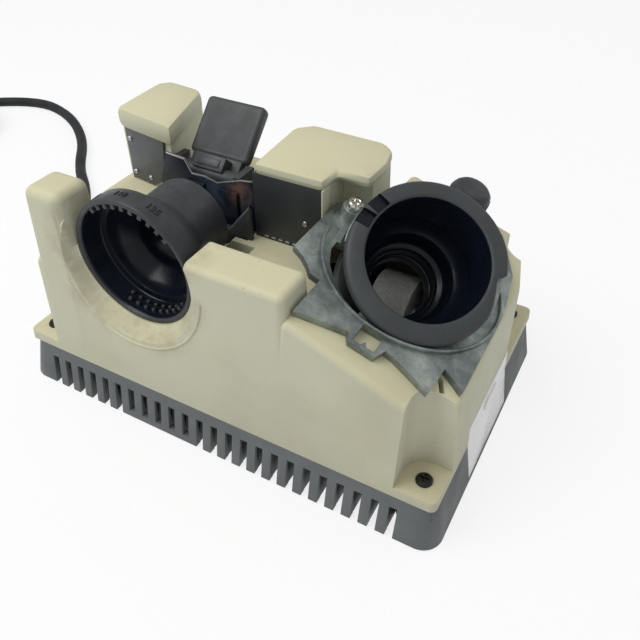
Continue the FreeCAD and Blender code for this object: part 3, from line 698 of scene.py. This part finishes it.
def makeFins():
    fin = boxes("fin", [fins["blade"]], "grey", width=fins["edge"])
    spots = [at(fins["start"] + k * fins["pitch"], 0, 0) for k in range(-1, fins["count"])]
    wall = boxes("finWall", [fins["wall"]], "grey", width=fins["edge"])
    parts = [repeat("fins", fin, spots, "grey"), wall]
    for side in (-1, 1):
        for end in (-1, 1):
            lean = Matrix.Identity(4)
            lean[0][2] = end * posts["lean"]
            lean[1][2] = side * posts["lean"]
            place = at(end * posts["x"], side * posts["y"], posts["z"])
            parts.append(disc("post", posts["profile"], "grey", posts["steps"], place @ lean))
    return merged("ventFins", parts)


attach(makeFins(), "housing", "base_tray")
print("housing and base made")

# Bead along the front edge of the cup's opening, following the leaning face
bead = {"x": -46, "z": 108, "radius": 47.4, "from": 184, "to": 356, "steps": 48, "thick": 0.9, "rounds": 3,
        "front": -85, "lean": 7, "low": 29, "top": 125, "sunk": 0.2}


def makeBead():
    points = []
    for degrees in evenly(bead["from"], bead["to"], bead["steps"] + 1):
        x, z = polar(bead["radius"], degrees, bead["x"], bead["z"])
        y = bead["front"] + bead["lean"] * (z - bead["low"]) / (bead["top"] - bead["low"]) + bead["sunk"]
        points.append(Vector((x, y, z)) * mm)
    curve = wire("cupBead", "POLY", points, bead["thick"] * mm, bead["rounds"])
    return shade(fromCurve("cupBead", curve, "cream"), smooth["bead"])


attach(makeBead(), "housing", "top_housing")

# Housing screws: pan heads with a cross recess; the head's shares are of its radius and height
head = {"rim": 0.45, "shoulder": (0.82, 0.85), "crown": 0.45, "floor": 0.45, "steps": 32, "over": 1}
screw = {"radius": 4.4, "height": 2.4, "cross": 0.9, "reach": 2.6, "top": 35, "x": 124, "y": 73}


def crossHead(name, shape, coat):
    radius = shape["radius"]
    height = shape["height"]
    half = shape["cross"] / 2
    wide, tall = head["shoulder"]
    profile = [(radius, 0), (radius, height * head["rim"]), (radius * wide, height * tall),
               (radius * head["crown"], height)]
    arm = [(shape["reach"], -half), (shape["reach"], half), (half, half)]
    plus = []
    for quarter in range(4):
        plus += arm
        arm = [(-y, x) for x, y in arm]
    low = height * head["floor"]
    cutter = outline("plus", plus, low, height + head["over"], coat, width=easing["sharp"])
    return carve(disc(name, profile, coat, head["steps"]), cutter)


corners = [at(sx * screw["x"], sy * screw["y"], screw["top"]) for sx in (-1, 1) for sy in (-1, 1)]
screws = repeat("crossScrews", crossHead("head", screw, "darkSteel"), corners, "darkSteel")
attach(screws, "housing", "housing_screws", "housing_screws")

# Left hood: its cap and face stand a little turned, with a grey panel set back under the cap
leftHood = {"cap": [(-126.4, 14.6), (-78.4, 7.2), (-92.6, 57), (-96.5, 63), (-121, 65.4), (-128.4, 58)],
            "capLow": 129.5, "capHigh": 143.4, "capRound": 0.0045,
            "foot": [(-126.2, 18.4), (-83.4, 11.8), (-93.2, 57), (-96.8, 62.6), (-121, 65), (-128, 58)],
            "footLow": 94.2, "footHigh": 132, "footRound": 0.001,
            "corner": (-126.2, 18.4, 0), "way": (0.9884, -0.1524, 0), "out": (-0.1524, -0.9884, 0),
            "panel": [(4, 131), (4, 96), (22, 96), (28, 98.5), (33, 104), (36.5, 113), (38.8, 131)],
            "panelDepths": (-0.5, 1.9)}


def makeBlock(name, shape, key):
    return outline(name, shape[key], shape[key + "Low"], shape[key + "High"], "cream",
                   width=shape[key + "Round"])


hoodFace = at(*leftHood["corner"]) @ axes(leftHood["way"], (0, 0, 1), leftHood["out"])
turnedHood = merged("turnedHood", [makeBlock("cap", leftHood, "cap"), makeBlock("foot", leftHood, "foot")])
attach(turnedHood, "housing", "top_housing")
leftPlate = outline("turnedPanel", leftHood["panel"], *leftHood["panelDepths"], "panel", hoodFace)
attach(leftPlate, "housing", "left_panel", "left_panel")

# Right hood: a thin, high cap, the dark panel that fills the face below it and the jamb beside that
rightHood = {"cap": [(-14.5, -3.6), (28.5, -3.2), (29.5, 12), (48.4, 12), (49.4, 32), (46, 47), (38, 53.5),
                     (-8, 54.8), (-17.2, 46)],
             "capLow": 134.5, "capHigh": 142.2, "capRound": 0.0035,
             "panel": ((-15.6, -2.9, 95.1), (27.6, -1.6, 136)), "jamb": ((27.4, -3, 95.1), (28.5, 5, 136))}
jamb = boxes("jamb", [rightHood["jamb"]], "cream")
attach(merged("highHood", [makeBlock("roof", rightHood, "cap"), jamb]), "housing", "top_housing")
attach(boxes("darkPanel", [rightHood["panel"]], "black"), "housing", "right_panel", "right_panel")

# Small screws of the panels and the row of slots along the foot of the right one
panel = {"radius": 1.7, "height": 1.1, "cross": 0.4, "reach": 1.1,
         "leftSpots": ((8, 124, 1.9), (8, 101, 1.9), (22, 101, 1.9)), "rightSpot": (17.5, -2.9, 113),
         "slot": ((-1.3, -0.5, 0), (1.3, 0.5, 0.5)), "slotEdge": 0.0001, "slots": 7, "slotFrom": -8,
         "slotPitch": 4.6, "slotY": -2.9, "slotZ": 97.2}
small = crossHead("smallHead", panel, "steel")
spots = [hoodFace @ at(*spot) for spot in panel["leftSpots"]] + [at(*panel["rightSpot"]) @ facingFront]
attach(repeat("panelScrews", small, spots, "steel"), "housing", "left_panel")
dash = boxes("dash", [panel["slot"]], "steel", width=panel["slotEdge"])
spots = [at(panel["slotFrom"] + k * panel["slotPitch"], panel["slotY"], panel["slotZ"]) @ facingFront
         for k in range(panel["slots"])]
attach(repeat("panelSlots", dash, spots, "steel"), "housing", "right_panel")
print("housing details made")

# Alignment dial: a thin flared cup with a toothed lip, two rows of pegs and a long neck
# Rows are (radius, along, from, to, count)
dial = {"outer": [(37.5, 1.0), (37.5, 12.3), (36.7, 13.4), (26.4, 25.4), (25, 27.6), (24.5, 30),
                  (24.5, 50.6), (24.1, 52.2), (22.8, 53)],
        "inner": [(20.6, 53), (20, 52), (20, 30), (20.8, 28.4), (26.4, 21.6), (28.4, 18), (29, 15.6),
                  (29.6, 14.4), (32.9, 14), (33.5, 13.2), (33.9, 2), (34.4, 0.7), (35.2, 0), (36.7, 0),
                  (37.2, 0.3)],
        "steps": 128, "insideLimit": 34.2, "insideFacing": -0.5,
        "tooth": ((-1.2, -1.6, -0.6), (1.2, 1.6, 2.2)), "toothEdge": 0.0002,
        "teeth": (34.2, 2.1, -128, -42, 10),
        "peg": [(0.05, -0.8), (1.25, -0.8), (1.15, 1.6), (0.7, 2.1), (0.05, 2.2)], "pegSteps": 12,
        "pegRows": ((33.7, 5.2, 46, 112, 8), (33.7, 9.4, 49, 115, 8)),
        "key": ((-1.2, -7, -1), (1.2, 7, 6.5)), "keyEdge": 0.0003, "keyRow": (27.5, 24, -8, -8, 1),
        "numbers": (("118", -97), ("135", -66), ("115", -128)), "numberRadius": 37.5, "numberAlong": 7,
        "numberSize": 5.6, "numberDeep": 0.35}


def ringSpots(radius, along, start, stop, count, way=-1):
    # places on a circle in the dial's frame whose local Z looks inwards, or outwards where way is 1
    spots = []
    for degrees in evenly(start, stop, count):
        out = Vector((*polar(1, degrees), 0))
        side = Vector((-out.y, out.x, 0))
        place = dialFrame @ at(out.x * radius, out.y * radius, along)
        spots.append(place @ axes(side, (0, 0, way), out * way))
    return spots


def raisedNumber(text, degrees):
    curve = bpy.data.curves.new("figures", "FONT")
    curve.body = text
    curve.size = dial["numberSize"] * mm
    curve.extrude = dial["numberDeep"] * mm
    curve.align_x = "CENTER"
    curve.align_y = "CENTER"
    figures = fromCurve("figures" + text, curve, "gloss")
    place = ringSpots(dial["numberRadius"], dial["numberAlong"], degrees, degrees, 1, 1)[0]
    figures.data.transform(place)
    return figures


def makeDial():
    cup = lathe("dialCup", dial["outer"] + dial["inner"], "black", dial["steps"], dialFrame)
    cup.data.materials.append(finish["bore"])
    back = dialFrame.inverted()
    for face in cup.data.polygons:
        middle = back @ face.center
        way = back.to_3x3() @ face.normal
        inward = middle.x * way.x + middle.y * way.y < 0 or way.z < dial["insideFacing"]
        if inward and math.hypot(middle.x, middle.y) < dial["insideLimit"] * mm:
            face.material_index = 1
    tooth = boxes("tooth", [dial["tooth"]], "black", width=dial["toothEdge"])
    parts = [cup, repeat("teeth", tooth, ringSpots(*dial["teeth"]), "black")]
    parts.append(boxes("key", [dial["key"]], "black", ringSpots(*dial["keyRow"])[0], dial["keyEdge"]))
    for row in dial["pegRows"]:
        peg = lathe("peg", dial["peg"], "black", dial["pegSteps"])
        parts.append(repeat("pegs", peg, ringSpots(*row), "black"))
    parts += [raisedNumber(text, degrees) for text, degrees in dial["numbers"]]
    return merged("alignmentCup", parts)


attach(makeDial(), "dial", "alignment_dial", "alignment_dial")
print("dial made")

# Sharpening tube: dished flange that works as a cam, glossy stepped bore, two square pockets
# The rim is listed as (angle, radius)
tube = {"profile": [(40, -6.2), (40, -2.8), (39.7, -1.8), (39, -1.1), (37.8, -0.7), (33.4, 0), (32.4, -0.2),
                    (31.7, -0.9), (31.5, -2), (31.5, -30.4), (31.2, -31.4), (26.2, -37.2), (25.5, -37.6),
                    (25, -38.2), (24.6, -39.2), (23.4, -46), (22.8, -47), (21.8, -47.6), (20, -48),
                    (19.4, -48.6), (19.1, -49.6), (18.8, -55.6), (18.4, -56.7), (17.8, -57), (17.2, -57.4),
                    (17, -58.2), (17, -64.6), (17.4, -65), (19.6, -65), (20, -64.5), (20, -62.2),
                    (34.6, -57.2), (35, -56.4), (35, -8), (35.6, -7), (39.2, -7)],
        "rim": ((-180, 40.4), (-120, 41.6), (-47, 42.3), (-12, 40.5), (14, 35.6), (17, 35.3), (22, 40.6),
                (40, 41.4), (75, 40.6), (180, 40.4)),
        "steps": 144, "neck": 35, "flangeFrom": 35.4, "flangeWide": 5,
        "pockets": (164, 179.5), "pocketHalf": 4.2, "pocketFrom": 32.6, "pocketTo": 46, "pocketDeep": 4.6,
        "pocketTop": 3, "pocketEdge": 0.0003, "wallFacing": 0.6, "floorFacing": 0.9, "floorSlack": 0.2,
        "boreLimit": 31.6, "boreTop": -1.2, "boreFoot": -64.9, "stepFacing": 0.3, "inward": 1e-9}


def rimAt(angle):
    # the flange's radius round the mouth, straight between the listed angles
    for (a, low), (b, high) in zip(tube["rim"], tube["rim"][1:]):
        if a <= angle <= b:
            return low + (high - low) * (angle - a) / (b - a)
    return low


def shapeFlange(piece):
    neck = tube["neck"]
    for vert in piece.data.vertices:
        radius = math.hypot(vert.co.x, vert.co.y)
        if radius > tube["flangeFrom"] * mm:
            wide = rimAt(math.degrees(math.atan2(vert.co.y, vert.co.x)))
            share = (radius / mm - neck) / tube["flangeWide"]
            scale = (neck + share * (wide - neck)) * mm / radius
            vert.co.x *= scale
            vert.co.y *= scale


def isGlossy(face):
    # the bore, and the walls and floors of the pockets
    middle = face.center
    normal = face.normal
    reach = math.hypot(middle.x, middle.y)
    outward = normal.x * middle.x + normal.y * middle.y
    if reach < tube["boreLimit"] * mm and tube["boreFoot"] * mm < middle.z < tube["boreTop"] * mm:
        if outward < tube["inward"] or normal.z > tube["stepFacing"]:
            return True
    wall = abs(normal.x * middle.y - normal.y * middle.x) > tube["wallFacing"] * reach
    level = abs(middle.z + tube["pocketDeep"] * mm) < tube["floorSlack"] * mm
    bottom = normal.z > tube["floorFacing"] and level
    return reach > tube["pocketFrom"] * mm and (wall or bottom)


def makeTube():
    piece = lathe("sharpeningTube", tube["profile"], "flange", tube["steps"])
    shapeFlange(piece)
    half = tube["pocketHalf"]
    pocket = ((tube["pocketFrom"], -half, -tube["pocketDeep"]), (tube["pocketTo"], half, tube["pocketTop"]))
    for angle in tube["pockets"]:
        carve(piece, boxes("pocket", [pocket], "gloss", spun(angle, "Z"), tube["pocketEdge"]))
    piece.data.materials.append(finish["bore"])
    for face in piece.data.polygons:
        face.material_index = 1 if isGlossy(face) else 0
    piece.data.transform(tubeFrame)
    return piece


attach(makeTube(), "tube", "sharpening_tube", "sharpening_tube")
print("sharpening tube made")

# Angle bracket: the cast plate with its openings, a raised band round the tube and the left wing
# The gap is listed as (angle, radius); heights are from the seat
plate = {"x": 6.5, "y": -21.9, "edge": 0.0008, "inner": 30,
         "gap": ((196, 43), (205, 45), (218, 46), (232, 46.6), (246, 47.4), (258, 48)),
         "gapHeights": (-8, 14), "gapSunk": (-16, 4),
         "window": [(1.7, -83.8), (6.2, -83.4), (7.6, -80.6), (9.2, -83.3), (13.4, -83.2), (13.2, -71.2),
                    (1.9, -72)],
         "windowHeights": (-8, 8),
         "slit": [(45.2, -68.5), (45.2, -71.5), (48.6, -77.4), (51, -76.4), (47.2, -69.5)],
         "slitHeights": (-12, 4),
         "ring": (49.15, 50.8), "ringFrom": -174, "ringTo": 40, "ringSteps": 48, "ringHeights": (-0.6, 2.2),
         "ringEdge": 0.0006,
         "wing": [(-45.5, -2.5), (-49.6, -7), (-49.6, -53), (-43, -55.5), (-38, -59), (-34, -63),
                  (-27.5, -63.5), (-33.5, -52), (-36, -45), (-37, -24), (-45.5, -17.5)],
         "wingHeights": (-4.1, -0.05), "wingEdge": 0.0003}


def onPlate(radius, degrees):
    return polar(radius, degrees, plate["x"], plate["y"])


def gapOutline():
    # crescent beside the tube where the oval opening is wider than the tube
    outer = [onPlate(radius, degrees) for degrees, radius in plate["gap"]]
    return outer + [onPlate(plate["inner"], degrees) for degrees, radius in reversed(plate["gap"])]


def ringOutline():
    # raised band on the plate along the front and right of the opening
    sweep = evenly(plate["ringFrom"], plate["ringTo"], plate["ringSteps"] + 1)
    inner, outer = [[onPlate(radius, degrees) for degrees in sweep] for radius in plate["ring"]]
    return outer + inner[::-1]


def onSeat(name, points, heights, coat, width=easing["sharp"]):
    return outline(name, points, *heights, coat, seatFrame, width)


bracket = softened("angle_bracket", "zinc", plate["edge"])
carve(bracket, onSeat("gap", gapOutline(), plate["gapHeights"], "zinc"))
carve(bracket, onSeat("window", plate["window"], plate["windowHeights"], "zinc"))
carve(housing, onSeat("gap", gapOutline(), plate["gapSunk"], "cream"))
carve(housing, onSeat("slit", plate["slit"], plate["slitHeights"], "cream"))
ring = onSeat("ring", ringOutline(), plate["ringHeights"], "zinc", plate["ringEdge"])
wing = onSeat("wing", plate["wing"], plate["wingHeights"], "zinc", plate["wingEdge"])
attach(merged("castBracket", [bracket, ring, wing]), "swivel", "angle_bracket", "angle_bracket")

# Follower pin with a round socket in its head
pin = {"place": (-39, -11, 0), "steps": 40,
       "profile": [(0.05, -4), (3, -4), (3, 7), (4.1, 7.05), (4.5, 7.4), (4.5, 10.4), (4.0, 11), (2.5, 11),
                   (2.2, 10.7), (2.2, 8.6), (0.05, 8.4)]}
followerPin = lathe("socketPin", pin["profile"], "nickel", pin["steps"], seatFrame @ at(*pin["place"]))
attach(followerPin, "swivel", "follower_pin", "follower_pin")

# Lock knob: a cap with upright ribs
knob = {"place": (7, 48, 0), "steps": 72,
        "profile": [(3.05, 0.2), (11.6, 0.2), (12.0, 0.6), (12.0, 13.6), (11.4, 15.6), (9.6, 17.5),
                    (7.6, 18), (0.05, 17.6), (0.05, 13), (3.05, 13)],
        "rib": [(0.05, 1), (0.6, 1), (0.62, 12.6), (0.4, 13.8), (0.05, 14.2)], "ribSteps": 10, "ribs": 28,
        "ribRadius": 11.9}


def makeKnob():
    place = seatFrame @ at(*knob["place"])
    cap = lathe("knobCap", knob["profile"], "black", knob["steps"], place)
    rib = lathe("rib", knob["rib"], "black", knob["ribSteps"])
    spots = [place @ spun(360 * k / knob["ribs"], "Z") @ at(knob["ribRadius"], 0, 0)
             for k in range(knob["ribs"])]
    return merged("ribbedKnob", [cap, repeat("ribs", rib, spots, "black")])


attach(makeKnob(), "knob", "lock_knob", "lock_knob")
print("bracket, pin and knob made")

# Lever: a soft square thumb pad on a hub, with a catch at its foot
lever = {"pad": ((-77, 0, 13), (-36, 9, 49)), "facing": -0.9, "inset": 4.4, "dish": 0.9, "round": 0.0036,
         "segments": 5, "limit": 40, "pin": (0, 12, 117), "hubSteps": 48, "edge": 0.0006,
         "hub": [(2.55, -77), (4.6, -77), (5, -76.6), (5, -36.4), (4.6, -36), (2.55, -36)],
         "catch": [((-66, -6.5, 3), (-45, 3, 12)), ((-63, -7.2, 5), (-48, -6.2, 10))],
         "web": [((-74, 1.5, -1), (-39, 7.5, 15))]}


def makePad():
    work = bmesh.new()
    boxMesh(work, *lever["pad"])
    work.normal_update()
    front = [face for face in work.faces if face.normal.y < lever["facing"]]
    bmesh.ops.inset_region(work, faces=front, thickness=lever["inset"] * mm)
    bmesh.ops.translate(work, vec=(0, lever["dish"] * mm, 0), verts=front[0].verts)
    pad = eased(drawn("pad", work, "pad"), lever["round"], lever["segments"], lever["limit"], smooth["pad"])
    pad.data.transform(leverFrame)
    return pad


def makeLever():
    pad = makePad()
    hub = lathe("hub", lever["hub"], "pad", lever["hubSteps"], at(*lever["pin"]) @ alongX)
    catch = boxes("catch", lever["catch"], "black", leverFrame, lever["edge"])
    web = boxes("web", lever["web"], "pad", leverFrame, lever["edge"])
    return merged("thumbLever", [pad, hub, catch, web])


attach(makeLever(), "lever", "pawl_lever", "pawl_lever")
softSolid("lever_bracket", "housing", "pad", 0.0006, 2)

# Pawl nest: blued sheet with a bright stepped edge, a grey frame, a half disc and cream posts
nest = {"edge": [(-15, 128.3), (-25.6, 126.7), (-42.6, 120.8), (-50.8, 122.5), (-60.1, 122.3),
                 (-64.6, 130.5), (-77.5, 131.5)],
        "foot": [(-84, 113), (-84, 95), (-81, 81), (-18, 81), (-15, 95)], "sheet": (-1.2, -0.2),
        "sheetEase": 0.00012, "strip": 0.8, "bright": (-1.3, -0.1), "brightEase": 0.00005,
        "wallEdge": [(-14.6, 118), (-17, 115), (-29, 99.8), (-31, 99), (-38, 100)],
        "wallFoot": [(-38, 94.4), (-14.6, 94.4)], "wall": (6.4, 9.2), "wallStrip": 2.2, "rim": (6.2, 9.4),
        "wallEase": 0.0003}
sideDisc = {"radius": 14.5, "points": 21, "thick": (-3, 3), "place": (-26, 38, 108), "ease": 0.0008,
            "post": ((-29, 35.5, 94.5), (-23, 40.5, 110)), "postEase": 0.0006,
            "cradle": [((-30, 26, 94.5), (-25, 31, 119)), ((-22, 22, 94.5), (-17.6, 26, 115)),
                       ((-30, 27, 112), (-17.6, 30, 117))], "cradleEase": 0.0008}


def strip(points, height):
    # the band of one height under a line of points
    return points + [(x, z - height) for x, z in reversed(points)]


def standing(name, points, depths, coat, width):
    return outline(name, points, *depths, coat, facingFront, width)


sheet = standing("sheet", nest["edge"] + nest["foot"], nest["sheet"], "blued", nest["sheetEase"])
band = strip(nest["edge"], nest["strip"])
bright = standing("sheetEdge", band, nest["bright"], "steel", nest["brightEase"])
attach(merged("bluedNest", [sheet, bright]), "housing", "left_pawl")
wall = standing("wall", nest["wallEdge"] + nest["wallFoot"], nest["wall"], "pad", nest["wallEase"])
rim = standing("rim", strip(nest["wallEdge"], nest["wallStrip"]), nest["rim"], "grey", nest["wallEase"])
attach(merged("nestFrame", [wall, rim]), "housing", "pawl_guide")
arc = [polar(sideDisc["radius"], degrees) for degrees in evenly(0, 180, sideDisc["points"])]
discFrame = at(*sideDisc["place"]) @ facingFront
halfDisc = outline("halfDisc", arc, *sideDisc["thick"], "black", discFrame, sideDisc["ease"])
post = boxes("discPost", [sideDisc["post"]], "black", width=sideDisc["postEase"])
attach(merged("sideDisc", [halfDisc, post]), "housing", "lever_bracket")
cradle = boxes("creamPosts", sideDisc["cradle"], "cream", width=sideDisc["cradleEase"])
attach(cradle, "housing", "top_housing")
softSolid("pawl_guide", "housing", "black", 0.0006, 2)
print("lever and pawl nest made")

# Clear cover: a plate flush with the base's sloping end, with a finger grip
coverPlate = {"side": [(139.4, 2.3), (134.9, 29.5), (134.4, 43), (132.4, 43), (132.9, 29.3), (137.2, 2.3)],
              "depths": (-29.7, 36.7), "grip": ((134.2, -12, 33), (136, 6, 39)), "gripEase": 0.0005}
window = standing("coverPlate", coverPlate["side"], coverPlate["depths"], "clear", easing["width"])
grip = boxes("coverGrip", [coverPlate["grip"]], "clear", width=coverPlate["gripEase"])
attach(merged("clearCover", [window, grip]), "cover", "access_cover", "access_cover")

# Switch and cord fittings: eased solids and a ribbed sleeve for the cord
plain = {"switch_frame": ("housing", "black", 0.0008), "switch_rocker": ("rocker", "gloss", 0.0005),
         "plug_body": ("housing", "rubber", 0.0016), "cord_tie": ("housing", "tie", 0.0004)}
fittings = {node: softSolid(node, *values) for node, values in plain.items()}
relief = {"from": -170, "ribs": 6, "ribbed": 26, "thin": 6.0, "thick": 7.8,
          "rib": ((0, 0), (0.1, 2.6), (-0.9, 2.8), (-0.9, 4.1)),
          "collar": [(7.8, -142), (7.8, -128), (4.85, -128), (4.85, -170)], "steps": 40, "axis": (0, 45, 10)}


def makeRelief():
    profile = []
    for k in range(relief["ribs"]):
        share = k / relief["ribs"]
        x = relief["from"] + relief["ribbed"] * share
        radius = relief["thin"] + (relief["thick"] - relief["thin"]) * share
        profile += [(radius + out, x + along) for out, along in relief["rib"]]
    return lathe("ribbedRelief", profile + relief["collar"], "rubber", relief["steps"],
                 at(*relief["axis"]) @ alongX)


attach(makeRelief(), "housing", "strain_relief", "strain_relief")
print("fittings made")

# Solids that stay, each with its finish
stays = {"rubber": ["rubber_feet"], "blued": ["left_pawl", "right_pawl"], "grit": ["grinding_wheel"],
         "steel": ["lever_pin", "tube_clip", "clamp_stud", "motor_can", "motor_shaft", "wheel_screw"],
         "grey": ["motor_mount"], "black": ["motor_end_caps", "cooling_fan"], "darkSteel": ["rotor"],
         "bronze": ["motor_bearings", "plug_pins"]}
for coat, names in stays.items():
    for node in names:
        coated(nodes[node].data, coat)

# Floor: pale, and a little lifted towards white except under the base
floor = {"half": 6.0, "colour": (0.93, 0.93, 0.93), "uneven": 1.01, "noise": 3, "rough": 0.9, "lift": 0.8,
         "middle": (0, 0.006, 0), "under": (0.138, 0.078), "fade": 0.001}


def makeFloor():
    mesh = bpy.data.meshes.new("floor")
    h = floor["half"]
    mesh.from_pydata([(-h, -h, 0), (h, -h, 0), (h, h, 0), (-h, h, 0)], [], [(0, 1, 2, 3)])
    tree = Tree("paleFloor")
    pale = tuple(v * floor["uneven"] for v in floor["colour"])
    tree.colour(tree.mix(tree.noise(floor["noise"]), floor["colour"], pale))
    tree.value(Roughness=floor["rough"])
    white = tree.add("ShaderNodeEmission")
    blend = tree.add("ShaderNodeMixShader")
    path = tree.add("ShaderNodeLightPath").outputs
    seen = tree.larger(path["Is Camera Ray"], path["Is Glossy Ray"])
    sides = [tree.ramp(tree.away(floor["middle"], keep), half - floor["fade"], half)
             for keep, half in zip(((1, 0, 0), (0, 1, 0)), floor["under"])]
    tree.join(tree.times(tree.times(seen, floor["lift"]), tree.larger(*sides)), blend.inputs["Fac"])
    tree.join(tree.shader.outputs["BSDF"], blend.inputs[1])
    tree.join(white.outputs["Emission"], blend.inputs[2])
    tree.join(blend.outputs["Shader"], tree.all.nodes["Material Output"].inputs["Surface"])
    mesh.materials.append(tree.material)
    placed("floor", mesh)


makeFloor()
print("floor made")
